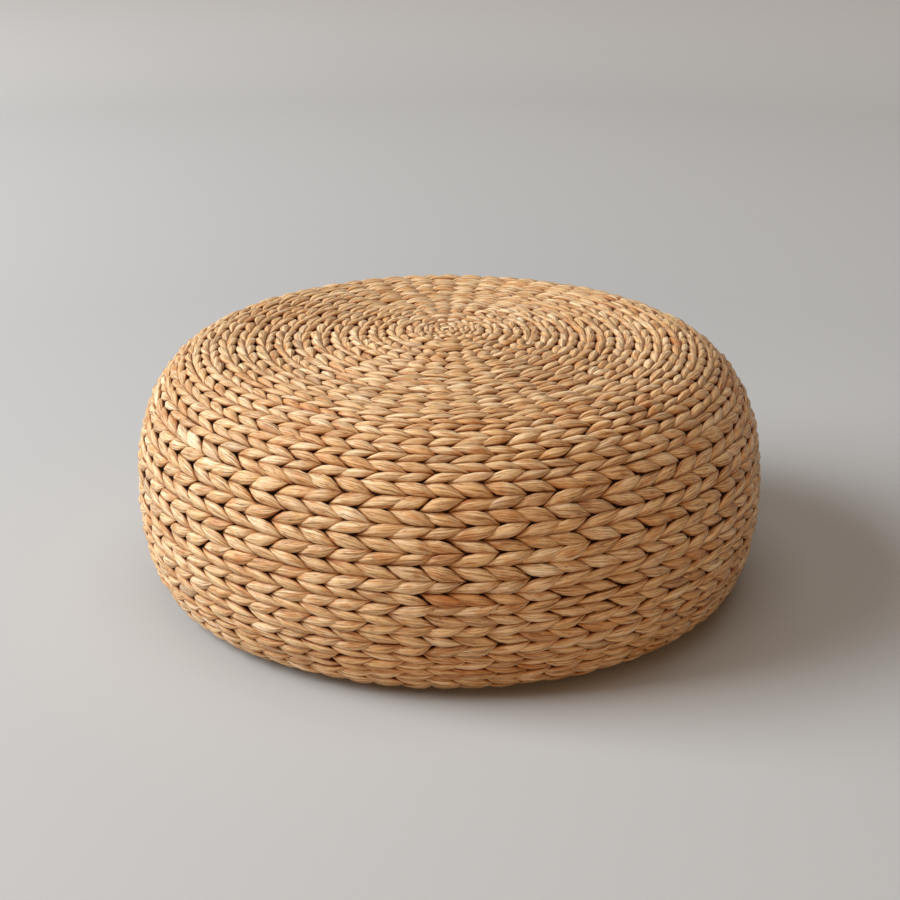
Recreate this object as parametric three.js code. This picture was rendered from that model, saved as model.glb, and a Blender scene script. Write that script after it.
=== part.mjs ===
import * as THREE from 'three';

// A low round stool: a bent rod frame covered by rounds of twined plant fibre.
// Millimetres, +Z up. The origin is on the floor, on the stool's axis.

// Overall shape of the woven cover
const widestDiameter = 600;
const seatHeight = 246;
const bellyHeight = 98;
const crownRadius = 200;
const crownRise = 9.5;
const shoulderFullness = 2.33;
const turnUnderReach = 36;
const undersideWidth = 47;
const weaveClearance = 3;

// Rounds of the weave, counted from the middle of the seat
const weaveThickness = 14;
const whorlRadius = 22;
const borderWidth = 13;
const bandRoundCounts = [11, 4, 4, 3, 2, 3];
const bandEndShares = [0.37, 0.503, 0.687, 0.805, 0.865, 1];
const roundGroove = 4;
const limbGroove = 2.8;
const whorlCrownShare = 0.6;
const limbCrestShares = [0.26, 0.74];
const limbMeetShare = 0.5;

// Frame
const ribCount = 8;
const ribDiameter = 8;
const ribInnerRadius = 15;
const ringDiameter = 8;
const crownRingRadius = 110;
const shoulderRingRadius = 205;
const baseRingTurnShare = 0.97;
const hubRadius = 46;
const hubThickness = 3;
const barWidth = 30;
const barThickness = 4;

// Rubber feet
const footCount = 4;
const footSoleRadius = 13;
const footTopRadius = 16;
const footSoleRound = 2;
const stemDiameter = 8;
const stemOverhang = 3;
const stemClearance = 0.4;

// Clearances and how finely round shapes are cut
const gap = 0.3;
const bendAllowance = 1.2;
const weldAllowance = 0.4;
const chordAllowance = 0.15;
const cornerAllowance = 3;
const roundSides = 32;
const innerRoundSides = 16;
const innerRoundsRadius = 80;
const rodSides = 6;
const smallRoundSides = 16;
const ribSteps = 24;
const stretchSamples = 48;

const widestRadius = widestDiameter / 2;
const quarterTurn = Math.PI / 2;
const fullTurn = Math.PI * 2;

// Materials
const fibre = new THREE.MeshStandardMaterial({ color: 0xc9a06a, roughness: 0.75, metalness: 0 });
const darkFibre = new THREE.MeshStandardMaterial({ color: 0xb98c55, roughness: 0.8, metalness: 0 });
const paintedSteel = new THREE.MeshStandardMaterial({ color: 0x2a2826, roughness: 0.5, metalness: 0.4 });
const rubber = new THREE.MeshStandardMaterial({ color: 0x1b1a19, roughness: 0.9, metalness: 0 });

// The wall is four stretches, each run by a turn from 0 to 1: the crown, the shoulder down to the
// belly, the flank that turns under, and the flat underside. Depth is measured under the surface.
const shoulderHeight = seatHeight - crownRise - bellyHeight;
const shoulderReach = widestRadius - crownRadius;
const flankHeight = bellyHeight - weaveClearance;
const footprintRadius = widestRadius - turnUnderReach;
const borderRadius = footprintRadius - undersideWidth;

function crownPoint(turn, depth) {
  const radius = crownRadius * turn;
  const lift = crownRise * (1 + Math.cos(Math.PI * turn)) / 2;
  return new THREE.Vector2(radius, seatHeight - crownRise + lift - depth);
}

function shoulderPoint(turn, depth) {
  const angle = quarterTurn * turn;
  const power = 2 / shoulderFullness;
  const radius = crownRadius + (shoulderReach - depth) * Math.sin(angle) ** power;
  return new THREE.Vector2(radius, bellyHeight + (shoulderHeight - depth) * Math.cos(angle) ** power);
}

function flankPoint(turn, depth) {
  const angle = quarterTurn * turn;
  const radius = footprintRadius + (turnUnderReach - depth) * Math.cos(angle);
  return new THREE.Vector2(radius, bellyHeight - (flankHeight - depth) * Math.sin(angle));
}

function undersidePoint(turn, depth) {
  const radius = footprintRadius + (borderRadius - footprintRadius) * turn;
  return new THREE.Vector2(radius, weaveClearance + depth);
}

const stretches = [crownPoint, shoulderPoint, flankPoint, undersidePoint];

// Travel is the length along the outer surface, from the middle of the seat to the border
const samples = [];
for (const stretch of stretches) {
  for (let step = 0; step <= stretchSamples; step += 1) {
    const turn = step / stretchSamples;
    const point = stretch(turn, 0);
    const last = samples.at(-1);
    const travel = last ? last.travel + point.distanceTo(last.point) : 0;
    samples.push({ stretch, turn, point, travel });
  }
}
const wholeTravel = samples.at(-1).travel;

function wallPoint(travel, depth) {
  const after = samples.findIndex((sample) => sample.travel >= travel);
  const next = samples[after < 0 ? samples.length - 1 : Math.max(after, 1)];
  const previous = samples[Math.max(samples.indexOf(next) - 1, 0)];
  const span = next.travel - previous.travel;
  const share = span > 0 ? (travel - previous.travel) / span : 1;
  const from = previous.stretch(previous.turn, depth);
  return from.lerp(next.stretch(next.turn, depth), Math.min(Math.max(share, 0), 1));
}

function travelAtRadius(radius) {
  return samples.find((sample) => sample.point.x >= radius).travel;
}

// Solids
const stool = new THREE.Group();

function addPiece(name, geometry, material) {
  const piece = new THREE.Mesh(geometry, material);
  piece.name = name;
  stool.add(piece);
  return piece;
}

function turned(outline, sides) {
  const geometry = new THREE.LatheGeometry(outline, sides);
  geometry.rotateX(quarterTurn);
  return geometry;
}

function circleOutline(centre, radius, sides) {
  const outline = [];
  for (let corner = 0; corner <= sides; corner += 1) {
    const angle = -fullTurn * (corner % sides) / sides;
    outline.push(new THREE.Vector2(centre.x + radius * Math.cos(angle), centre.y + radius * Math.sin(angle)));
  }
  return outline.reverse();
}

// One round is a pair of limb rows that slant opposite ways, so its section has two crests
function roundSection(start, end) {
  const first = start + gap / 2;
  const last = end - gap / 2;
  const width = last - first;
  const innerStart = wallPoint(first, weaveThickness);
  const innerEnd = wallPoint(last, weaveThickness);
  const innerMiddle = wallPoint(first + width * limbMeetShare, weaveThickness);
  const bows = innerMiddle.distanceTo(innerStart.clone().lerp(innerEnd, limbMeetShare)) > chordAllowance;
  return [
    innerStart,
    wallPoint(first, roundGroove),
    wallPoint(first + width * limbCrestShares[0], 0),
    wallPoint(first + width * limbMeetShare, limbGroove),
    wallPoint(first + width * limbCrestShares[1], 0),
    wallPoint(last, roundGroove),
    innerEnd,
    ...(bows ? [innerMiddle] : []),
    innerStart,
  ];
}

const whorlTravel = travelAtRadius(whorlRadius);
const roundEdges = [whorlTravel];
bandRoundCounts.forEach((rounds, band) => {
  const bandStart = roundEdges.at(-1);
  const bandEnd = whorlTravel + (wholeTravel - whorlTravel) * bandEndShares[band];
  for (let round = 1; round <= rounds; round += 1) {
    roundEdges.push(bandStart + (bandEnd - bandStart) * round / rounds);
  }
});

for (let round = 1; round < roundEdges.length; round += 1) {
  const section = roundSection(roundEdges[round - 1], roundEdges[round]).reverse();
  const label = String(round).padStart(2, '0');
  const sides = roundEdges[round] < innerRoundsRadius ? innerRoundSides : roundSides;
  addPiece(`weave_round_${label}`, turned(section, sides), fibre);
}

// The whorl where the stakes cross, in the middle of the seat
const whorlEdge = whorlTravel - gap / 2;
const whorlBase = wallPoint(0, weaveThickness);
addPiece('weave_whorl', turned([
  wallPoint(0, 0),
  wallPoint(whorlEdge * whorlCrownShare, 0),
  wallPoint(whorlEdge, roundGroove),
  new THREE.Vector2(whorlEdge, whorlBase.y),
  whorlBase,
].reverse(), innerRoundSides), fibre);

// The border that locks the ends of the stakes under the stool
const borderOuter = borderRadius - gap;
const borderInner = borderOuter - borderWidth;
const borderTop = weaveClearance + weaveThickness;
const borderRound = borderWidth * limbCrestShares[0];
addPiece('weave_border', turned([
  new THREE.Vector2(borderInner, weaveClearance + borderRound),
  new THREE.Vector2(borderInner + borderRound, weaveClearance),
  new THREE.Vector2(borderOuter - borderRound, weaveClearance),
  new THREE.Vector2(borderOuter, weaveClearance + borderRound),
  new THREE.Vector2(borderOuter, borderTop - borderRound),
  new THREE.Vector2(borderOuter - borderRound, borderTop),
  new THREE.Vector2(borderInner + borderRound, borderTop),
  new THREE.Vector2(borderInner, borderTop - borderRound),
  new THREE.Vector2(borderInner, weaveClearance + borderRound),
], roundSides), darkFibre);

// Frame: ribs lie against the weave, and the rings lie inside the ribs
const ribRadius = ribDiameter / 2;
const ringRadius = ringDiameter / 2;
const rodFlatShare = Math.cos(Math.PI / rodSides);
const ribDepth = weaveThickness + bendAllowance + gap + ribRadius * rodFlatShare;
const ribInnerDepth = ribDepth + ribRadius * rodFlatShare;
const bellyRingDepth = ribInnerDepth + gap + chordAllowance + ringRadius;
const seatRingDepth = ribInnerDepth + gap + chordAllowance + ringRadius * rodFlatShare;

const baseRingCentre = flankPoint(baseRingTurnShare, weaveThickness + cornerAllowance + ringRadius);

function addRing(name, centre) {
  addPiece(name, turned(circleOutline(centre, ringRadius, rodSides), roundSides), paintedSteel);
}
addRing('crown_ring', wallPoint(travelAtRadius(crownRingRadius), seatRingDepth));
addRing('shoulder_ring', wallPoint(travelAtRadius(shoulderRingRadius), seatRingDepth));
addRing('belly_ring', flankPoint(0, bellyRingDepth));
addRing('base_ring', baseRingCentre);

const ribPath = [];
const ribStartTravel = travelAtRadius(ribInnerRadius);
for (const sample of samples) {
  const point = sample.stretch(sample.turn, ribDepth);
  const clearOfBaseRing = point.distanceTo(baseRingCentre) > ringRadius + gap + weldAllowance;
  const last = ribPath.at(-1);
  const isNew = !last || point.distanceTo(last) > 0;
  if (sample.travel >= ribStartTravel && point.y > baseRingCentre.y && clearOfBaseRing && isNew) {
    ribPath.push(point);
  }
}

const rodOutline = new THREE.Shape(circleOutline(new THREE.Vector2(), ribRadius, rodSides).slice(1));
const ribCurve = new THREE.CatmullRomCurve3(ribPath.map((point) => new THREE.Vector3(point.x, 0, point.y)));
for (let rib = 0; rib < ribCount; rib += 1) {
  const geometry = new THREE.ExtrudeGeometry(rodOutline, {
    steps: ribSteps,
    extrudePath: ribCurve,
    bevelEnabled: false,
  });
  const piece = addPiece(`rib_${rib + 1}`, geometry, paintedSteel);
  piece.rotation.z = fullTurn * rib / ribCount;
}

const hubTop = wallPoint(travelAtRadius(hubRadius), ribInnerDepth).y - gap;
const hub = addPiece(
  'hub_plate',
  new THREE.CylinderGeometry(hubRadius, hubRadius, hubThickness, roundSides).rotateX(quarterTurn),
  paintedSteel,
);
hub.position.z = hubTop - hubThickness / 2;

// Flat bars cross the base ring and carry the feet: one whole bar, and two half bars that meet it
const barBottom = baseRingCentre.y - barThickness / 2;
const ringFlat = (barWidth / 2) * Math.tan(Math.PI / roundSides);
const barReach = baseRingCentre.x - ringRadius - ringFlat - gap;
const halfBarStart = barWidth / 2 + gap;
const footCircleRadius = borderInner - footTopRadius - gap;
const holeRadius = stemDiameter / 2 + stemClearance;

function barGeometry(start, end, holePlaces) {
  const outline = new THREE.Shape();
  outline.moveTo(start, -barWidth / 2);
  outline.lineTo(end, -barWidth / 2);
  outline.lineTo(end, barWidth / 2);
  outline.lineTo(start, barWidth / 2);
  outline.closePath();
  for (const place of holePlaces) {
    const corners = circleOutline(new THREE.Vector2(place, 0), holeRadius, smallRoundSides).slice(1);
    outline.holes.push(new THREE.Path(corners));
  }
  return new THREE.ExtrudeGeometry(outline, { depth: barThickness, bevelEnabled: false });
}

function addBar(name, start, end, holePlaces, turn) {
  const piece = addPiece(name, barGeometry(start, end, holePlaces), paintedSteel);
  piece.position.z = barBottom;
  piece.rotation.z = turn;
}
addBar('base_bar', -barReach, barReach, [-footCircleRadius, footCircleRadius], 0);
addBar('half_bar_back', halfBarStart, barReach, [footCircleRadius], quarterTurn);
addBar('half_bar_front', halfBarStart, barReach, [footCircleRadius], -quarterTurn);

// Each foot stands on the floor, bears on its bar and is held by a stem pushed through the bar
const footTop = barBottom - gap;
const stemTop = barBottom + barThickness + stemOverhang;
const footOutline = [
  new THREE.Vector2(0, 0),
  new THREE.Vector2(footSoleRadius - footSoleRound, 0),
  new THREE.Vector2(footSoleRadius, footSoleRound),
  new THREE.Vector2(footTopRadius, footTop),
  new THREE.Vector2(stemDiameter / 2, footTop),
  new THREE.Vector2(stemDiameter / 2, stemTop),
  new THREE.Vector2(0, stemTop),
];
for (let foot = 0; foot < footCount; foot += 1) {
  const piece = addPiece(`foot_${foot + 1}`, turned(footOutline, smallRoundSides), rubber);
  const angle = fullTurn * foot / footCount;
  piece.position.set(footCircleRadius * Math.cos(angle), footCircleRadius * Math.sin(angle), 0);
}

export default stool;
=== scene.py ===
# %% [markdown]
# A low round seat, twined from dried plant leaf over a steel rod frame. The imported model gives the
# frame and the place of every round of the weave. This lesson dresses each round in real leaves.
# Everything is in metres, +Z is up, and the origin is on the floor under the middle of the seat.

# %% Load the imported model
import math

import bpy
import numpy as np
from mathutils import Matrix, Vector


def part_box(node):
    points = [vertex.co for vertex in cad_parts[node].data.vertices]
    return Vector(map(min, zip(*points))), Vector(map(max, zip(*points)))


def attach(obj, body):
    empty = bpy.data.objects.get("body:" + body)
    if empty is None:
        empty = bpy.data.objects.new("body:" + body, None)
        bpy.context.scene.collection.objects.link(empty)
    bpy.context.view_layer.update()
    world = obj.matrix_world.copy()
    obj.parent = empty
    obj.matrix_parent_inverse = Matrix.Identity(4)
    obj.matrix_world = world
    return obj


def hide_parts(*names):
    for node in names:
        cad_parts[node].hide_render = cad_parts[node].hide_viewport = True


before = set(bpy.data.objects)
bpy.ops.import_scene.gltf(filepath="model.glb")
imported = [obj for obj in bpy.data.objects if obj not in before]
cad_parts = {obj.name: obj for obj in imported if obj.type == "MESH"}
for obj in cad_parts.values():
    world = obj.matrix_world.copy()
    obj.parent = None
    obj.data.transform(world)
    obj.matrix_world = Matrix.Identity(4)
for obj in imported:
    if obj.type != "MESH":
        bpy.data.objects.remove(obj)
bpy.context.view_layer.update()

mm = 0.001

# %% [markdown]
# The camera comes first, so that every later choice can be looked at through it. The photo looks
# down on the seat by about 21 degrees from nearly two metres away, which a 74 mm lens gives. A
# camera aims along its own -Z, so tipping it up from straight down by 90 minus 21 degrees aims it.

# %% Camera
camera_distance = 1.8
camera_tilt = math.radians(21)
camera_target = (0.00065, 0.0, 0.1207)
camera_lens = 74.25

bpy.ops.object.camera_add(
    location=(
        camera_target[0],
        camera_target[1] - camera_distance * math.cos(camera_tilt),
        camera_target[2] + camera_distance * math.sin(camera_tilt),
    ),
    rotation=(math.pi / 2 - camera_tilt, 0, 0),
)
camera = bpy.context.object
camera.data.lens = camera_lens
camera.data.sensor_width = 36
camera.data.clip_end = 60
bpy.context.scene.camera = camera
bpy.context.scene.view_settings.view_transform = "Standard"
print("camera at", [round(v, 3) for v in camera.location])

# %% [markdown]
# Modelling operators act on whatever is selected, and the loaded model comes in selected. One
# small helper clears that before each new piece.

# %% A helper for working by hand
def start_fresh():
    """Leave edit mode and deselect everything."""
    if bpy.context.object and bpy.context.object.mode != "OBJECT":
        bpy.ops.object.mode_set(mode="OBJECT")
    bpy.ops.object.select_all(action="DESELECT")


start_fresh()
print("selected objects:", len(bpy.context.selected_objects))

# %% [markdown]
# Colours are written from 0 to 255 here, as a picture editor shows them. A shader reckons with
# amounts of light instead, so each colour goes through the standard curve between the two.

# %% A helper for colours
def to_linear(colour):
    """The light values of a colour that is written 0 to 255."""
    share = np.asarray(colour, float) / 255
    return np.where(share <= 0.04045, share / 12.92, ((share + 0.055) / 1.055) ** 2.4)


print("the grey 128 sends back", round(float(to_linear(128)), 3), "of the light")

# %% [markdown]
# A shader tree is a chain of small nodes. These two helpers add a node, set its values and wire its
# inputs in a single call, so that each material below reads as a list of what it is made of. Some
# nodes have several inputs of one name, and those are asked for by number, as i6 for number 6.

# %% Helpers for shader nodes
def feed(tree, node, **inputs):
    """Give each input a value, or an output socket to link from."""
    for name, value in inputs.items():
        numbered = name[0] == "i" and name[1:].isdigit()
        socket = node.inputs[int(name[1:]) if numbered else name.replace("_", " ")]
        if isinstance(value, bpy.types.NodeSocket):
            tree.links.new(value, socket)
        else:
            socket.default_value = value


def add_node(tree, kind, settings=None, **inputs):
    """Add a node with its settings, and feed its inputs."""
    node = tree.nodes.new(kind)
    for name, value in (settings or {}).items():
        setattr(node, name, value)
    feed(tree, node, **inputs)
    return node


# %% [markdown]
# Every material here is built of the same few parts. It starts from one main shader. Its colours
# come from ramps, its grain from noise, and its relief from bump: ribs and pebbles far finer than a
# millimetre would cost millions of faces, and light on a bump looks the same.

# %% Helpers for materials
def new_material(name):
    """An empty material with its output and its main shader."""
    material = bpy.data.materials.new(name)
    material.use_nodes = True
    tree = material.node_tree
    tree.nodes.clear()
    shader = add_node(tree, "ShaderNodeBsdfPrincipled")
    add_node(tree, "ShaderNodeOutputMaterial", Surface=shader.outputs["BSDF"])
    return material, tree, shader


def ramp(tree, factor, stops):
    """A colour ramp with its stops given as (place, colour 0 to 255)."""
    node = add_node(tree, "ShaderNodeValToRGB", Fac=factor)
    elements = node.color_ramp.elements
    while len(elements) < len(stops):
        elements.new(0.5)
    for element, (place, colour) in zip(elements, stops):
        element.position = place
        element.color = (*to_linear(colour), 1)
    return node.outputs["Color"]


def object_noise(tree, scale, detail):
    """Noise that is fixed to a piece. The scale is roughly how many blots there are to the metre."""
    place = add_node(tree, "ShaderNodeTexCoord")
    noise = add_node(tree, "ShaderNodeTexNoise", Vector=place.outputs["Object"], Scale=scale, Detail=detail)
    return noise.outputs["Fac"]


def relief(tree, height, depth, strength, **under):
    """A bump of a given depth, which may lie over another one that is given as Normal."""
    bump = add_node(tree, "ShaderNodeBump", Height=height, Distance=depth, Strength=strength, **under)
    return bump.outputs["Normal"]


# %% [markdown]
# The photo was taken in a plain studio, on a seamless pale grey sweep. A broad floor stands in for
# it, because at this camera angle the far end of the floor lies outside the picture. Lamps this near
# light a floor less and less toward the back. The paper gets paler away from the stool to make up
# for that, so that the backdrop comes out as even as the photo's.

# %% The floor
floor_size = 24
floor_near = (174, 173, 171)
floor_middle = (192, 190, 187)
floor_far = (244, 240, 236)
floor_near_reach = 1.0
floor_far_reach = 4.4
floor_middle_share = 0.45
floor_roughness = 0.9

start_fresh()
bpy.ops.mesh.primitive_plane_add(size=floor_size, location=(0, 0, 0))
floor = bpy.context.object
floor.name = "floor"
floor_material, tree, shader = new_material("studio paper")
place = add_node(tree, "ShaderNodeTexCoord")
distance = add_node(tree, "ShaderNodeVectorMath", {"operation": "LENGTH"}, i0=place.outputs["Object"])
reach = add_node(
    tree,
    "ShaderNodeMapRange",
    Value=distance.outputs["Value"],
    From_Min=floor_near_reach,
    From_Max=floor_far_reach,
)
floor_stops = ((0, floor_near), (floor_middle_share, floor_middle), (1, floor_far))
tint = ramp(tree, reach.outputs["Result"], floor_stops)
feed(tree, shader, Base_Color=tint, Roughness=floor_roughness)
floor.data.materials.append(floor_material)
print("floor", floor_size, "m wide")

# %% [markdown]
# Three square lamps light the stool: a big soft one high on the left, a weaker one overhead, and a
# small warm one low in front, which only lifts the shade. The right side stays darker, and the
# shadow falls to the right. Soft boxes are used because a sun or a point would cut hard shadows.

# %% The lights
key_size = 3.4
key_power = 440
key_place = (-4.12, -0.2, 2.95)
key_colour = (243, 249, 255)
top_size = 4.0
top_power = 95
top_place = (0.2, 0.0, 5.0)
top_colour = (247, 240, 234)
fill_size = 2.0
fill_power = 58
fill_place = (0.0, -4.4, 1.05)
fill_colour = (255, 203, 150)
lamp_target = (0, 0, 0.1)


def add_softbox(name, place, size, power, colour):
    """A square lamp that aims at the middle of the stool."""
    bpy.ops.object.light_add(type="AREA", location=place)
    lamp = bpy.context.object
    lamp.name = name
    lamp.data.size = size
    lamp.data.energy = power
    lamp.data.color = to_linear(colour)
    aim = np.array(lamp_target) - np.array(place)
    turn = math.atan2(aim[1], aim[0]) - math.pi / 2
    tip = math.acos(-aim[2] / np.linalg.norm(aim))
    lamp.rotation_euler = (tip, 0, turn)


add_softbox("key light", key_place, key_size, key_power, key_colour)
add_softbox("top light", top_place, top_size, top_power, top_colour)
add_softbox("fill light", fill_place, fill_size, fill_power, fill_colour)

# %% [markdown]
# The room gives a little warm light from all round. A camera, a mirror or a glass would see a pale
# wall there, so those rays get the wall's colour instead, and the light on the stool stays the same.

# %% The room
sky_strength = 0.1
sky_colour = (242, 212, 182)
wall_colour = (190, 187, 184)

world = bpy.data.worlds.new("studio")
bpy.context.scene.world = world
world.use_nodes = True
tree = world.node_tree
tree.nodes.clear()
rays = add_node(tree, "ShaderNodeLightPath")
seen = rays.outputs["Is Camera Ray"]
for kind in ("Is Glossy Ray", "Is Transmission Ray"):
    either = add_node(tree, "ShaderNodeMath", {"operation": "MAXIMUM"}, i0=seen, i1=rays.outputs[kind])
    seen = either.outputs["Value"]
glow = add_node(tree, "ShaderNodeBackground", Color=(*to_linear(sky_colour), 1), Strength=sky_strength)
wall = add_node(tree, "ShaderNodeBackground", Color=(*to_linear(wall_colour), 1), Strength=1.0)
shown = add_node(
    tree,
    "ShaderNodeMixShader",
    Fac=seen,
    i1=glow.outputs["Background"],
    i2=wall.outputs["Background"],
)
add_node(tree, "ShaderNodeOutputWorld", Surface=shown.outputs["Shader"])
print("room:", len(tree.nodes), "nodes")

# %% [markdown]
# The cover is a surface of revolution in four stretches: a slightly domed crown, a full shoulder, a
# flank that turns under, and a flat underside. A place on it is given by the azimuth round the
# stool, the travel along the outer surface from the middle of the seat, and the depth under that
# surface. Leaves are shaped flat and then laid on the wall through these three numbers, which is
# what a weaver's hands do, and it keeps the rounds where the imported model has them.

# %% The wall
widest_radius = 300 * mm
seat_height = 246 * mm
belly_height = 98 * mm
crown_radius = 200 * mm
crown_rise = 9.5 * mm
shoulder_fullness = 2.33
turn_under_reach = 36 * mm
weave_clearance = 3 * mm
weave_thickness = 14 * mm
border_radius = 217 * mm
footprint_radius = widest_radius - turn_under_reach
stretch_count = 4


def stretch_point(along, depth):
    """Radius and height at a place along the four stretches, 0 to 4, and a depth under the surface."""
    along, depth = np.broadcast_arrays(along, depth)
    stretch = np.clip(along.astype(int), 0, stretch_count - 1)
    turn = along - stretch
    angle = turn * math.pi / 2
    power = 2 / shoulder_fullness
    sine = np.clip(np.sin(angle), 0, 1)
    cosine = np.clip(np.cos(angle), 0, 1)
    shoulder_height = seat_height - crown_rise - belly_height
    lift = crown_rise * (1 + np.cos(math.pi * turn)) / 2
    radii = (
        crown_radius * turn,
        crown_radius + (widest_radius - crown_radius - depth) * sine**power,
        footprint_radius + (turn_under_reach - depth) * cosine,
        footprint_radius + (border_radius - footprint_radius) * turn,
    )
    heights = (
        seat_height - crown_rise + lift - depth,
        belly_height + (shoulder_height - depth) * cosine**power,
        belly_height - (belly_height - weave_clearance - depth) * sine,
        weave_clearance + depth,
    )
    return np.choose(stretch, radii), np.choose(stretch, heights)


print("widest at", [round(float(v) / mm, 1) for v in stretch_point(2.0, 0.0)], "mm")

# %% [markdown]
# The four stretches aren't equally long, so equal steps along them aren't equal steps of travel.
# The wall is measured once, in many short steps, and a place is then found by its real travel.

# %% Travel along the wall
stretch_samples = 400
sample_along = np.linspace(0, stretch_count, stretch_count * stretch_samples + 1)
sample_radius, sample_height = stretch_point(sample_along, 0.0)
steps = np.hypot(np.diff(sample_radius), np.diff(sample_height))
sample_travel = np.concatenate([[0], np.cumsum(steps)])
whole_travel = sample_travel[-1]


def cover_wall(travel, depth):
    """Radius and height on the cover."""
    return stretch_point(np.interp(travel, sample_travel, sample_along), depth)


print("travel from the middle to the border", round(whole_travel / mm, 1), "mm")

# %% [markdown]
# The rounds share that travel out as the weaver did: eleven on the seat, four over the shoulder,
# seven wider ones down the side, two tight ones where it turns under, and three underneath. New
# stakes are pushed in as the seat grows, so the number of columns goes up in steps from 17 to 68.

# %% The rounds
whorl_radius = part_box("weave_whorl")[1].x
whorl_travel = np.interp(whorl_radius, sample_radius[:stretch_samples], sample_travel[:stretch_samples])
band_rounds = (11, 4, 4, 3, 2, 3)
band_end_shares = (0.37, 0.503, 0.687, 0.805, 0.865, 1.0)
column_plan = ((2, 17), (7, 34), (11, 51), (sum(band_rounds), 68))

round_edges = [whorl_travel]
for rounds, share in zip(band_rounds, band_end_shares):
    band_end = whorl_travel + (whole_travel - whorl_travel) * share
    round_edges += list(np.linspace(round_edges[-1], band_end, rounds + 1)[1:])
round_count = len(round_edges) - 1


def columns_of(number):
    """How many columns of leaves a round has."""
    return next(columns for last, columns in column_plan if number <= last)


print(round_count, "rounds, edges in mm", [round(e / mm) for e in round_edges])

# %% [markdown]
# A leaf is a bundle of flat dry leaf, laid over one stake and tucked behind the next. What shows is
# a plump slanting lens: its top edge runs level and then falls to the right-hand tip, and its
# bottom edge does the same the other way up. It could be a scaled sphere, but that has no slant
# and blunt ends. Here a small ring is drawn out along the leaf by extrusion, and each new ring is
# moved and resized, as one would by hand. It has few faces, because it is used thousands of times.

# %% The outline of a leaf
leaf_length = 44 * mm
leaf_width = 12.4 * mm
leaf_height = 8 * mm
edge_curve = 1.85
hump_lean = 1.1
hump_fullness = 0.48
tip_size = 0.03


def edge_fall(share):
    """How far the top edge has fallen, as a share of the width."""
    return max(0.0, (share - 0.5) / 0.5) ** edge_curve


def leaf_ring(share):
    """Middle, half width and height of the leaf at a share of its length."""
    top = 0.5 - edge_fall(share)
    bottom = -0.5 + edge_fall(1 - share)
    half = max((top - bottom) / 2, tip_size)
    hump = math.sin(math.pi * share**hump_lean) ** hump_fullness if 0 < share < 1 else 0
    height = max(hump, tip_size)
    return (top + bottom) / 2 * leaf_width, half * leaf_width, height * leaf_height


print("half way, in mm:", [round(v / mm, 1) for v in leaf_ring(0.5)])

# %% One leaf, by hand
leaf_stations = (0.0, 0.06, 0.17, 0.32, 0.5, 0.68, 0.83, 0.94, 1.0)
leaf_sides = 8

start_fresh()
bpy.ops.mesh.primitive_circle_add(
    vertices=leaf_sides, radius=1, fill_type="NGON", rotation=(0, -math.pi / 2, 0)
)
leaf = bpy.context.object
leaf.name = "leaf_master"
bpy.ops.object.transform_apply(location=True, rotation=True, scale=True)
bpy.ops.object.mode_set(mode="EDIT")
bpy.ops.mesh.select_all(action="SELECT")
middle, half, height = leaf_ring(0)
bpy.ops.transform.resize(value=(1, half, height), center_override=(0, 0, 0))
bpy.ops.transform.translate(value=(0, middle, 0))
before = (middle, half, height)
for previous, station in zip(leaf_stations, leaf_stations[1:]):
    now = leaf_ring(station)
    move = ((station - previous) * leaf_length, now[0] - before[0], 0)
    bpy.ops.mesh.extrude_region_move(TRANSFORM_OT_translate={"value": move})
    centre = (station * leaf_length, now[0], 0)
    growth = (1, now[1] / before[1], now[2] / before[2])
    bpy.ops.transform.resize(value=growth, center_override=centre)
    before = now
bpy.ops.mesh.select_all(action="SELECT")
bpy.ops.mesh.normals_make_consistent(inside=False)
bpy.ops.object.mode_set(mode="OBJECT")
print("leaf:", len(leaf.data.vertices), "points,", len(leaf.data.polygons), "faces")

# %% [markdown]
# A leaf is flatter on top than a round section, and its sides fall steeply, so that the seams
# between leaves stay thin. The underside lies against the stakes and is pressed nearly flat. The
# crest leans a little toward the top edge, where the leaf is pulled tight.

# %% Fill the shoulders, press the underside and lean the crest
side_fullness = 0.44
top_fullness = 0.72
under_press = 0.35
crest_lean = 0.12

leaf_points = np.array([v.co for v in leaf.data.vertices])
leaf_share = leaf_points[:, 0] / leaf_length
ring_middle, ring_half, ring_height = np.array([leaf_ring(s) for s in np.clip(leaf_share, 0, 1)]).T
leaf_around = np.arctan2(leaf_points[:, 2], leaf_points[:, 1] - ring_middle)
sideways = (leaf_points[:, 1] - ring_middle) / ring_half
leaf_points[:, 1] = ring_middle + ring_half * np.sign(sideways) * np.abs(sideways) ** side_fullness
above = leaf_points[:, 2] > 0
rise = leaf_points[above, 2] / ring_height[above]
leaf_points[above, 2] = ring_height[above] * rise**top_fullness
leaf_points[~above, 2] *= under_press
leaf_points[:, 1] += crest_lean * np.clip(leaf_points[:, 2], 0, None)
leaf_across = leaf_points[:, 1] / leaf_width
leaf_up = leaf_points[:, 2] / leaf_height
leaf_flank = 1 - np.clip(leaf_points[:, 2] / ring_height, 0, 1)
print("the leaf's height runs from", round(leaf_up.min(), 2), "to", round(leaf_up.max(), 2))

# %% [markdown]
# The faces are kept as one long list of corners, since that is the form in which a mesh is filled
# in quickly. Extrusion leaves them in any order, so they are sorted, and every run gives the same
# leaf. The angle round the leaf is kept for each corner of a face, not for each point: it jumps by
# a full turn somewhere, and no face may have corners on both sides of that jump.

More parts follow.
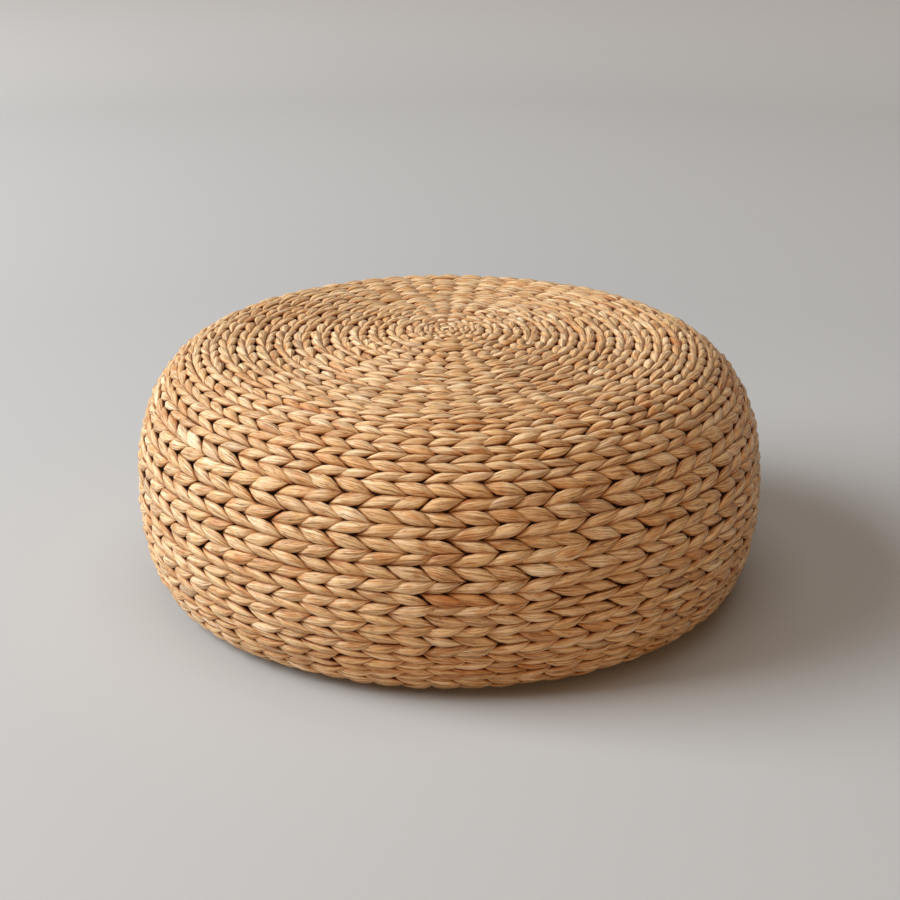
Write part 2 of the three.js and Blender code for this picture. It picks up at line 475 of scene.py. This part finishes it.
# %% The corners of the leaf's faces
leaf_faces = sorted(list(p.vertices) for p in leaf.data.polygons)
corner_points = np.concatenate(leaf_faces)
corner_counts = np.array([len(f) for f in leaf_faces])
corner_starts = np.cumsum(corner_counts) - corner_counts
corner_around = []
for face in leaf_faces:
    angles = leaf_around[face]
    corner_around.append(angles[0] + (angles - angles[0] + math.pi) % (2 * math.pi) - math.pi)
corner_around = np.concatenate(corner_around)
corners_turned = np.concatenate(
    [np.arange(s + c - 1, s - 1, -1) for s, c in zip(corner_starts, corner_counts)]
)
bpy.data.objects.remove(leaf)
print("leaf:", len(corner_points), "face corners")

# %% [markdown]
# The leaf comes in many shades: cream, straw and tan, with a few that have gone grey or rusty. A
# strand keeps its shade for some turns, so neighbours in a row are alike, and single leaves still
# stray. The shade is stored on the points, and the fibre material reads it.

# %% Shades
leaf_shades = np.array([to_linear(c) for c in (
    (246, 230, 203),
    (240, 217, 184),
    (232, 204, 165),
    (224, 190, 146),
    (214, 172, 126),
    (198, 149, 100),
)])
shade_middle = 0.42
strand_step = 0.35
strand_sway = 0.08
leaf_stray = 0.13
grey_shade = to_linear((188, 164, 138))
grey_middle = -0.12
grey_stray = 0.28
grey_most = 0.75
rust_tint = to_linear((243, 223, 200))
rust_share = 0.025
rust_run = 3
rust_least = 0.3


def pick_shades(count, random):
    """A colour for each leaf of a row."""
    slow = np.cumsum(random.normal(0, strand_step, count))
    slow = slow - np.linspace(0, 1, count) * (slow[-1] - slow[0])
    place = shade_middle + strand_sway * np.sin(slow) + random.normal(0, leaf_stray, count)
    place = np.clip(place, 0, 1) * (len(leaf_shades) - 1)
    low = np.minimum(place.astype(int), len(leaf_shades) - 2)
    part = (place - low)[:, None]
    shade = leaf_shades[low] * (1 - part) + leaf_shades[low + 1] * part
    greyness = np.clip(random.normal(grey_middle, grey_stray, count), 0, grey_most)[:, None]
    shade = shade * (1 - greyness) + grey_shade * greyness
    starts = random.random(count) < rust_share
    runs = sum(np.roll(starts, k) for k in range(rust_run)).clip(0, 1)
    rusty = runs * random.uniform(rust_least, 1, count)
    return shade * (1 - rusty[:, None] * (1 - rust_tint))


print(len(leaf_shades), "shades, a grey and a rust tint")

# %% [markdown]
# A weaver's rows wander by a millimetre or so, and the stakes are never quite evenly spaced. The
# rounds above and below a line share it, and rounds with as many columns share their stakes. The
# wander is a sum of a few slow waves with random phases from a fixed seed. It fades out toward the
# middle of the seat, where the rows are short and lie true.

# %% Lines and stakes that wander
line_wander = 0.9 * mm
line_waves = np.array([3, 5, 8, 13, 21])
wave_sizes = np.array([0.5, 0.5, 0.45, 0.4, 0.35])
wave_least = 0.4
full_wander_travel = 150 * mm
line_seed = 500
stake_wander = 0.06


def wander_line(travel, number):
    """A function of azimuth that gives the travel of a line between two limb rows."""
    random = np.random.default_rng(line_seed + number)
    phases = random.uniform(0, 2 * math.pi, len(line_waves))
    sizes = random.uniform(wave_least, 1, len(line_waves)) * line_wander * wave_sizes

    def line(azimuth):
        angles = line_waves * azimuth[..., None] + phases
        return travel + (sizes * np.sin(angles)).sum(-1) * min(1, travel / full_wander_travel)

    return line


def level_line(travel):
    """A function that gives the travel of a line that doesn't wander."""
    return lambda azimuth: np.full_like(azimuth, travel)


def stake_azimuths(columns):
    """Where the stakes stand, for two turns of the stool, since leaves reach past the first turn."""
    random = np.random.default_rng(columns)
    pitch = 2 * math.pi / columns
    places = (np.arange(columns) + stake_wander * random.normal(0, 1, columns)) * pitch
    return np.concatenate([places, places + 2 * math.pi, places[:1] + 4 * math.pi])


print("stakes on the side,", round(360 / columns_of(round_count), 1), "degrees apart")

# %% [markdown]
# Each round is a pair of limb rows. The upper row slants down to the right and the lower row is its
# mirror image, so together they make the chevrons. A row is laid in one go: every point of every
# copy gets its azimuth, travel and depth, with small differences in length, width, height and roll.
# Spans and places are counted in stakes, the draw of the tip and the drift in widths of the row, and
# gain and swell are factors on the width and height of a leaf.

# %% What differs from leaf to leaf
leaf_span = 1.66
tip_draw = 0.045
place_spread = 0.032
span_spread = 0.04
drift_spread = 0.022
roll_spread = 0.16
gain_middle = 1.12
gain_spread = 0.05
gain_least = 1.03
gain_most = 1.25
swell_middle = 0.93
swell_spread = 0.07
swell_least = 0.72
swell_most = 1.0
outer_press = -0.4
inner_press = -0.2
flank_weight = 0.62
laid_length = leaf_span * 2 * math.pi * widest_radius / columns_of(round_count)
print("a leaf on the side is", round(laid_length / mm), "mm long")

# %% The map of a leaf
map_spread = 400


def map_leaves(length, width, offset):
    """The map of several leaves, in mm along and round each, every leaf from its own offset."""
    along = (leaf_share * length / mm)[corner_points]
    around = corner_around * width / 2 / mm
    return np.stack([along + offset[:, :1], around + offset[:, 1:]], -1)


print("one leaf takes", round(math.pi * leaf_width / mm), "mm of the map, across")


# %% Lay one row of leaves
def lay_row(wall, columns, above, below, rising, inward, base, crest, seed):
    """One limb row: its leaves' points, map, shades and painted crevice shade, and whether their faces turn
    over.
    """
    random = np.random.default_rng(seed)
    stakes = stake_azimuths(columns)
    first = np.arange(columns) + random.normal(0, place_spread, columns)
    span = leaf_span * random.normal(1, span_spread, columns)
    gain = np.clip(random.normal(gain_middle, gain_spread, columns), gain_least, gain_most)
    drift = random.normal(0, drift_spread, columns)
    roll = random.normal(0, roll_spread, columns)
    swell = np.clip(random.normal(swell_middle, swell_spread, columns), swell_least, swell_most)
    side = -1 if rising else 1
    place = first[:, None] + leaf_share * span[:, None]
    turns = place // columns
    azimuth = np.interp(place % columns, np.arange(len(stakes)), stakes) + turns * 2 * math.pi
    top, bottom = above(azimuth), below(azimuth)
    across = side * (leaf_across * gain[:, None] - tip_draw) + drift[:, None]
    travel = (top + bottom) / 2 - across * (bottom - top)
    up = leaf_up * swell[:, None] + leaf_across * roll[:, None] * np.clip(leaf_up, 0, 1)
    press = inner_press if inward else outer_press
    radius, height = wall(travel, base + (crest - base) * np.clip(up, press, 1.0))
    points = np.stack([radius * np.cos(azimuth), radius * np.sin(azimuth), height], -1)
    offset = random.uniform(0, map_spread, (columns, 2))
    corner_map = map_leaves(leaf_length, leaf_width, offset)
    shades = np.repeat(pick_shades(columns, random)[:, None, :], len(leaf_share), 1)
    # The painted shade in the crevices: darker the further down a leaf's flank and the lower a point lies
    painted_shade = flank_weight * leaf_flank + (1 - flank_weight) * (1 - np.clip(up, 0, 1))
    return points, corner_map, shades, painted_shade, rising != inward


# %% [markdown]
# The rows of a round are gathered into one mesh. A mirrored row has its faces turned over, so that
# all of them still point outwards. Building the mesh from arrays is much quicker than copying
# thousands of objects and joining them, and gives the same result.

# %% Fill a mesh with leaves
def fill_mesh(name, points, corners, corner_map, shades, painted_shade):
    """A smooth mesh of leaves with their map, shades and depths of painted crevice shade."""
    counts = np.tile(corner_counts, len(points) // len(leaf_points))
    mesh = bpy.data.meshes.new(name)
    mesh.vertices.add(len(points))
    mesh.vertices.foreach_set("co", points.ravel())
    mesh.loops.add(len(corners))
    mesh.loops.foreach_set("vertex_index", corners.ravel())
    mesh.polygons.add(len(counts))
    mesh.polygons.foreach_set("loop_start", np.cumsum(counts) - counts)
    mesh.polygons.foreach_set("use_smooth", np.ones(len(counts), bool))
    mesh.update(calc_edges=True)
    layer = mesh.uv_layers.new(name="leaf_map")
    layer.uv.foreach_set("vector", corner_map.ravel())
    shade = mesh.attributes.new("leaf_shade", "FLOAT_COLOR", "POINT")
    shade.data.foreach_set("color", np.concatenate([shades, np.ones((len(shades), 1))], 1).ravel())
    # The depth of painted crevice shade goes on the points too
    depth = mesh.attributes.new("leaf_painted_shade", "FLOAT", "POINT")
    depth.data.foreach_set("value", painted_shade.ravel())
    mesh.validate()
    return mesh


print("leaf:", len(corner_counts), "faces in each copy")


# %% Gather rows into a piece
def gather(name, rows, material):
    """One object out of several rows of leaves."""
    parts = []
    first = 0
    for points, corner_map, shades, painted_shade, turned in rows:
        copies, each = points.shape[:2]
        order = corners_turned if turned else np.arange(len(corner_points))
        corners = corner_points[order] + first + np.arange(copies)[:, None] * each
        row = (points, corners[..., None], corner_map[:, order], shades, painted_shade[..., None])
        parts.append([values.reshape(-1, values.shape[-1]) for values in row])
        first += copies * each
    points, corners, corner_map, shades, painted_shade = [np.concatenate(values) for values in zip(*parts)]
    mesh = fill_mesh(name, points, corners, corner_map, shades, painted_shade)
    mesh.materials.append(material)
    piece = bpy.data.objects.new(name, mesh)
    bpy.context.scene.collection.objects.link(piece)
    return piece


# %% [markdown]
# Dried leaf is matt with a satin skin. Fine ribs run along it, a few creases show as thin dark
# lines, and blots tint it here and there. The patterns run along each leaf's own map, whose numbers
# are millimetres, so they follow the leaf however it is bent. Down in the crevices, where hardly any
# light gets back out, the colour is painted darker, to brown and then nearly black, and the shine
# is turned down: this is painted shade, not the leaf's own colour.

# %% The patterns on a leaf
fibre, tree, shader = new_material("dried leaf")
leaf_uv = add_node(tree, "ShaderNodeUVMap", {"uv_map": "leaf_map"})
leaf_shade = add_node(tree, "ShaderNodeAttribute", {"attribute_name": "leaf_shade"})
# The depth of painted crevice shade, read from the points
leaf_painted_shade = add_node(tree, "ShaderNodeAttribute", {"attribute_name": "leaf_painted_shade"})


def leaf_noise(along, across, detail, roughness=0.5):
    """Noise on the leaf's map, with how much it changes in a millimetre along and across the leaf."""
    place = add_node(tree, "ShaderNodeMapping", Vector=leaf_uv.outputs["UV"], Scale=(along, across, 1))
    noise = add_node(
        tree,
        "ShaderNodeTexNoise",
        Vector=place.outputs["Vector"],
        Scale=1.0,
        Detail=detail,
        Roughness=roughness,
    )
    return noise.outputs["Fac"]


ribs = leaf_noise(0.03, 0.8, detail=4.0, roughness=0.75)
creases = leaf_noise(0.016, 0.3, detail=2.0)
blots = leaf_noise(0.05, 0.16, detail=3.0)
print("leaf patterns:", len(tree.nodes), "nodes")

# %% Leaf colour and painted crevice shade
rib_stops = (
    (0.36, (130, 98, 64)),
    (0.44, (200, 176, 144)),
    (0.52, (248, 242, 230)),
    (0.60, (255, 255, 255)),
)
crease_stops = (
    (0.28, (196, 168, 132)),
    (0.40, (246, 240, 230)),
    (0.455, (250, 246, 240)),
    (0.475, (140, 106, 72)),
    (0.495, (250, 246, 240)),
    (0.6, (255, 255, 255)),
)
blot_stops = (
    (0.26, (206, 150, 98)),
    (0.38, (236, 208, 170)),
    (0.52, (255, 255, 255)),
    (0.72, (255, 244, 206)),
)
# Painted shade: the deeper a point lies in a crevice, the darker its colour, down to nearly black
painted_crevice_shade_stops = (
    (0.19, (255, 255, 255)),
    (0.32, (202, 160, 114)),
    (0.45, (98, 58, 27)),
    (0.62, (40, 20, 7)),
)
leaf_tints = (
    (ribs, rib_stops, 0.82),
    (creases, crease_stops, 0.68),
    (blots, blot_stops, 0.8),
    (leaf_painted_shade.outputs["Fac"], painted_crevice_shade_stops, 1.0),
)
colour = leaf_shade.outputs["Color"]
for factor, stops, strength in leaf_tints:
    tint = ramp(tree, factor, stops)
    settings = {"data_type": "RGBA", "blend_type": "MULTIPLY"}
    mix = add_node(tree, "ShaderNodeMix", settings, i0=strength, i6=colour, i7=tint)
    colour = mix.outputs[2]
feed(tree, shader, Base_Color=colour)
print("leaf tints:", len(leaf_tints))

# %% Leaf surface
matt_roughness = 0.56
satin_roughness = 0.42
lit_shine = 0.3
sunk_shine = 0.03
shine_fade_start = 0.2
shine_fade_end = 0.5
fuzz_weight = 0.06
fuzz_roughness = 0.45
crease_relief = 2.0 * mm
crease_strength = 0.8
rib_relief = 0.8 * mm
rib_strength = 0.7

rough = add_node(tree, "ShaderNodeMapRange", Value=ribs, To_Min=matt_roughness, To_Max=satin_roughness)
# The shine is turned down where the painted crevice shade is deep
shine = add_node(
    tree,
    "ShaderNodeMapRange",
    Value=leaf_painted_shade.outputs["Fac"],
    From_Min=shine_fade_start,
    From_Max=shine_fade_end,
    To_Min=lit_shine,
    To_Max=sunk_shine,
)
creased = relief(tree, creases, crease_relief, crease_strength)
feed(
    tree,
    shader,
    Roughness=rough.outputs["Result"],
    Specular_IOR_Level=shine.outputs["Result"],
    Sheen_Weight=fuzz_weight,
    Sheen_Roughness=fuzz_roughness,
    Normal=relief(tree, ribs, rib_relief, rib_strength, Normal=creased),
)
print("leaf material:", len(tree.nodes), "nodes")

# %% [markdown]
# Behind the leaves lie the tucked ends and the stakes, in deep shade. A fibre sleeve in the middle
# of the wall stands for them, so nothing shows through. Its near-black brown is painted shade, which
# makes the gaps look deep. Its section is drawn once per round and spun about the stool's axis.

# %% Core material, with painted shade
# Painted shade: dark browns for fibre that lies in deep shade behind the leaves
core_painted_shade_stops = ((0.3, (44, 23, 9)), (0.7, (80, 48, 21)))
core_roughness = 0.85
core_shine = 0.1
core_relief = 0.8 * mm
core_strength = 0.6

core_fibre, tree, shader = new_material("shaded fibre")
grain = object_noise(tree, scale=420.0, detail=3.0)
feed(
    tree,
    shader,
    Base_Color=ramp(tree, grain, core_painted_shade_stops),
    Roughness=core_roughness,
    Specular_IOR_Level=core_shine,
    Normal=relief(tree, grain, core_relief, core_strength),
)
print("core material:", len(tree.nodes), "nodes")

# %% The sleeve of a round
core_depths = (8.3 * mm, 10.3 * mm)
core_stations = 4
core_steps = 96
weld_distance = 0.05 * mm


def add_core(name, start, end):
    """A closed sleeve inside the wall, from one edge of a round to the other."""
    travels = np.linspace(start, end, core_stations)
    outer = [cover_wall(t, core_depths[0]) for t in travels]
    inner = [cover_wall(t, core_depths[1]) for t in travels[::-1]]
    start_fresh()
    bpy.ops.mesh.primitive_circle_add(vertices=len(outer) + len(inner), radius=0.1)
    core = bpy.context.object
    core.name = name
    for vertex, (radius, height) in zip(core.data.vertices, outer + inner):
        vertex.co = (float(radius), 0, float(height))
    bpy.ops.object.mode_set(mode="EDIT")
    bpy.ops.mesh.select_all(action="SELECT")
    bpy.ops.mesh.spin(steps=core_steps, angle=2 * math.pi, center=(0, 0, 0), axis=(0, 0, 1))
    bpy.ops.mesh.select_all(action="SELECT")
    bpy.ops.mesh.remove_doubles(threshold=weld_distance)
    bpy.ops.mesh.normals_make_consistent(inside=False)
    bpy.ops.object.mode_set(mode="OBJECT")
    bpy.ops.object.shade_smooth()
    core.data.materials.append(core_fibre)
    return core


print("sleeve", round((core_depths[1] - core_depths[0]) / mm, 1), "mm thick")

# %% [markdown]
# A finished piece is one object, with its sleeve joined to its leaves. It rides on the stool's only
# body and takes the place of the plain solid that the imported model has for it.

# %% Join and hand over
def join_pieces(main, *others):
    """Join other objects into the main one."""
    start_fresh()
    for other in others:
        other.select_set(True)
    main.select_set(True)
    bpy.context.view_layer.objects.active = main
    bpy.ops.object.join()


def dress(piece, node):
    """The finished piece rides on the stool and stands for its CAD node."""
    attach(piece, "root")
    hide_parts(node)


# %% [markdown]
# Now the rounds are laid. The outer face has two limb rows, and so has the inner face, which is
# seen from underneath. The foot of a leaf lies about in the middle of the wall and its crest at one
# face, so the two layers meet at the sleeve.

# %% Lay the rounds
outer_base = 8.6 * mm
inner_base = 9.6 * mm
round_seed = 1000
seeds_per_round = 10
inner_seed = 5

leaf_total = 0
for number in range(1, round_count + 1):
    start, end = round_edges[number - 1], round_edges[number]
    middle = (start + end) / 2
    lines = [wander_line(t, 2 * number + k) for k, t in enumerate((start, middle, end))]
    columns = columns_of(number)
    rows = []
    for row, (above, below) in enumerate(zip(lines, lines[1:])):
        seed = round_seed + number * seeds_per_round + row
        laid = (cover_wall, columns, above, below, row == 1)
        rows.append(lay_row(*laid, False, outer_base, 0.0, seed))
        rows.append(lay_row(*laid, True, inner_base, weave_thickness, seed + inner_seed))
    piece = gather(f"twined_round_{number:02d}", rows, fibre)
    join_pieces(piece, add_core(piece.name + "_core", start, end))
    dress(piece, f"weave_round_{number:02d}")
    leaf_total += len(rows) * columns
print(leaf_total, "leaves in", round_count, "rounds")

# %% [markdown]
# In the middle of the seat the first stakes cross, and the twining starts round them. Four small
# rows of leaves run round a knot of short leaves that are laid across each other. They use fewer
# and fewer columns toward the middle, so that the leaves there don't get too short.

# %% The small rows of the whorl
whorl_line_travels = (4 * mm, 9.5 * mm, 14.5 * mm, 20 * mm, whorl_travel)
whorl_columns = (7, 9, 13, 15)
whorl_crest = 0.6 * mm
whorl_seed = 70

whorl_lines = [level_line(t) for t in whorl_line_travels]
whorl_rows = []
for row, (above, below, columns) in enumerate(zip(whorl_lines, whorl_lines[1:], whorl_columns)):
    laid = (cover_wall, columns, above, below, row % 2 == 1)
    whorl_rows.append(lay_row(*laid, False, outer_base, whorl_crest, whorl_seed + row))
print("whorl:", len(whorl_rows), "small rows")

# %% The knot and the whorl
knot_press = -0.3
knot_seed = 80
knot_leaves = (
    {"turn": 0.3, "length": 15, "width": 6.5, "offset": 2.2, "foot": 5.0, "crest": 0.8},
    {"turn": 1.9, "length": 15, "width": 6.5, "offset": -2.0, "foot": 4.5, "crest": 0.5},
    {"turn": 3.5, "length": 14, "width": 6, "offset": -1.6, "foot": 4.0, "crest": 0.2},
)
whorl_core_height = 6 * mm
whorl_core_depth = 11.5 * mm
whorl_core_sides = 32


def lay_across(turn, length, width, offset, foot, crest, seed):
    """One leaf laid flat across the middle, with its sizes in mm and its turn in radians."""
    random = np.random.default_rng(seed)
    along = (leaf_share - 0.5) * (length * mm)
    across = leaf_across * (width * mm) + offset * mm
    x = along * math.cos(turn) - across * math.sin(turn)
    y = along * math.sin(turn) + across * math.cos(turn)
    depth = foot * mm + (crest * mm - foot * mm) * np.clip(leaf_up, knot_press, 1)
    points = np.stack([x, y, seat_height - depth], -1)[None]
    map_offset = random.uniform(0, map_spread, (1, 2))
    corner_map = map_leaves(length * mm, width * mm, map_offset)
    # A strand has two ends with a shade each, and only the first end shows here
    shades = np.repeat(pick_shades(2, random)[:1, None, :], len(leaf_share), 1)
    # Only the flank sets the painted crevice shade of a knot leaf
    return points, corner_map, shades, leaf_flank[None], False


for index, knot_leaf in enumerate(knot_leaves):
    whorl_rows.append(lay_across(**knot_leaf, seed=knot_seed + index))
whorl = gather("twined_whorl", whorl_rows, fibre)

start_fresh()
bpy.ops.mesh.primitive_cylinder_add(
    vertices=whorl_core_sides,
    radius=whorl_radius,
    depth=whorl_core_height,
    location=(0, 0, seat_height - whorl_core_depth),
)
whorl_core = bpy.context.object
bpy.ops.object.transform_apply(location=True, rotation=True, scale=True)
# The dark core fibre, with its painted shade, fills the middle under the knot
whorl_core.data.materials.append(core_fibre)
join_pieces(whorl, whorl_core)
dress(whorl, "weave_whorl")
print("whorl:", len(whorl.data.polygons), "faces")

# %% [markdown]
# Underneath, the stake ends are turned back and plaited into a border. It is a fat cord with
# chevrons all round, so the same rows of leaves are laid on a ring-shaped wall of its own.

# %% The wall of the border
border_low, border_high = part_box("weave_border")
border_width = 13 * mm
border_centre = (border_high.x - border_width / 2, (border_low.z + border_high.z) / 2)
border_reach = (border_width / 2, (border_high.z - border_low.z) / 2)
border_girth = 2 * math.pi * sum(border_reach) / 2


def border_wall(travel, depth):
    """Radius and height on the cord of the border, with travel measured round the cord."""
    angle = -travel / border_girth * 2 * math.pi
    radius = border_centre[0] + (border_reach[0] - depth) * np.cos(angle)
    return radius, border_centre[1] + (border_reach[1] - depth) * np.sin(angle)


print("border cord", round(border_girth / mm, 1), "mm round")

# %% The border
border_columns = 72
border_row_count = 4
border_base = 4.5 * mm
border_seed = 90
border_core_radius = 3 * mm
border_core_sides = (96, 8)

border_rows = []
for row in range(border_row_count):
    above, below = [level_line(k / border_row_count * border_girth) for k in (row, row + 1)]
    laid = (border_wall, border_columns, above, below, row % 2 == 1)
    border_rows.append(lay_row(*laid, False, border_base, 0.0, border_seed + row))
border = gather("plaited_border", border_rows, fibre)

start_fresh()
bpy.ops.mesh.primitive_torus_add(
    location=(0, 0, border_centre[1]),
    major_radius=border_centre[0],
    minor_radius=border_core_radius,
    major_segments=border_core_sides[0],
    minor_segments=border_core_sides[1],
)
border_core = bpy.context.object
bpy.ops.object.transform_apply(location=True, rotation=True, scale=True)
# The dark core fibre, with its painted shade, fills the cord of the border
border_core.data.materials.append(core_fibre)
join_pieces(border, border_core)
dress(border, "weave_border")
print("border:", len(border.data.polygons), "faces")

# %% [markdown]
# The frame's rods, bars and plate keep their CAD shapes and get a black powder coat: a slightly
# pebbled satin skin.

# %% Powder coat
coat_stops = ((0.3, (38, 36, 35)), (0.7, (54, 51, 48)))
coat_roughness = 0.5
pebble_relief = 0.3 * mm
pebble_strength = 0.25

coat, tree, shader = new_material("black powder coat")
cloud = object_noise(tree, scale=14.0, detail=3.0)
pebble = object_noise(tree, scale=900.0, detail=2.0)
feed(
    tree,
    shader,
    Base_Color=ramp(tree, cloud, coat_stops),
    Roughness=coat_roughness,
    Normal=relief(tree, pebble, pebble_relief, pebble_strength),
)
print("powder coat:", len(tree.nodes), "nodes")

# %% [markdown]
# The feet are moulded rubber, matt and a little dusty. They keep their CAD shapes too, so all that
# is left is to hand each node of the frame its finish.

# %% Rubber
rubber_stops = ((0.35, (30, 29, 28)), (0.75, (52, 49, 46)))
rubber_roughness = 0.82
dust_relief = 0.2 * mm
dust_strength = 0.2

rubber, tree, shader = new_material("moulded rubber")
dust = object_noise(tree, scale=160.0, detail=4.0)
feed(
    tree,
    shader,
    Base_Color=ramp(tree, dust, rubber_stops),
    Roughness=rubber_roughness,
    Normal=relief(tree, dust, dust_relief, dust_strength),
)
print("rubber:", len(tree.nodes), "nodes")

# %% Finish the frame
hard_nodes = {name: node for name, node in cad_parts.items() if not name.startswith("weave")}
for name, node in hard_nodes.items():
    node.data.materials.clear()
    node.data.materials.append(rubber if name.startswith("foot") else coat)
print("steel and rubber on", len(hard_nodes), "nodes")
